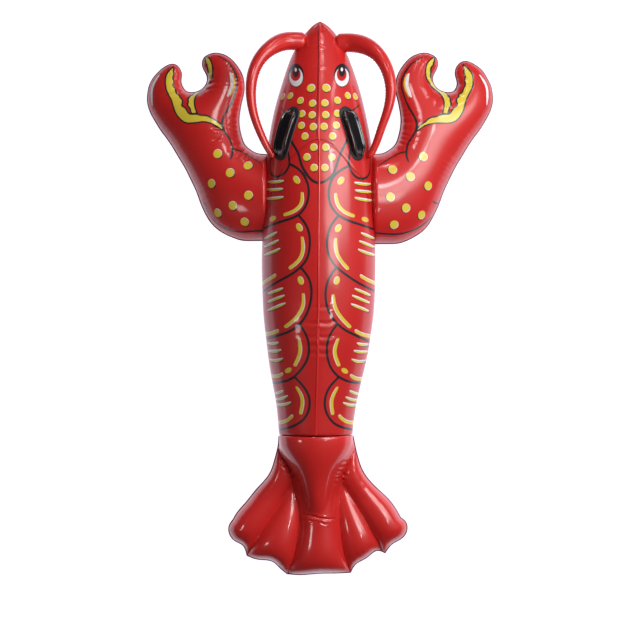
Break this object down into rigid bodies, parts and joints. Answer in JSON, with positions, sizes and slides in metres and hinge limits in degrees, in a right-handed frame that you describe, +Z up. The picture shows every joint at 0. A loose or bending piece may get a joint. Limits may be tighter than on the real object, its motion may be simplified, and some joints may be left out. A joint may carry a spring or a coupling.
{
  "type": "inflatable lobster pool float",
  "caption": "Blown-up vinyl lobster to ride on in a pool: long tube body, a claw on each side, curved feelers, fanned tail and two moulded grips.",
  "frame": {"origin": "bottom centre of the float's box, with the float lying on its belly", "axes": "+Y along the body towards the nose, +Z up out of the printed back, +X towards the claw on its right"},
  "size_m": [1.333, 2.13, 0.3866],
  "materials": {
    "printed_red_vinyl": "glossy vinyl with a printed pattern",
    "plain_red_vinyl": "glossy vinyl",
    "antenna_vinyl": "glossy vinyl",
    "black_vinyl": "satin moulded vinyl"
  },
  "bodies": {
    "root": {"body": "printed_red_vinyl", "claw_left": "printed_red_vinyl", "claw_right": "printed_red_vinyl", "tail_fan": "plain_red_vinyl", "antenna_left": "antenna_vinyl", "antenna_right": "antenna_vinyl", "handle_left": "black_vinyl", "handle_right": "black_vinyl"}
  },
  "joints": []
}
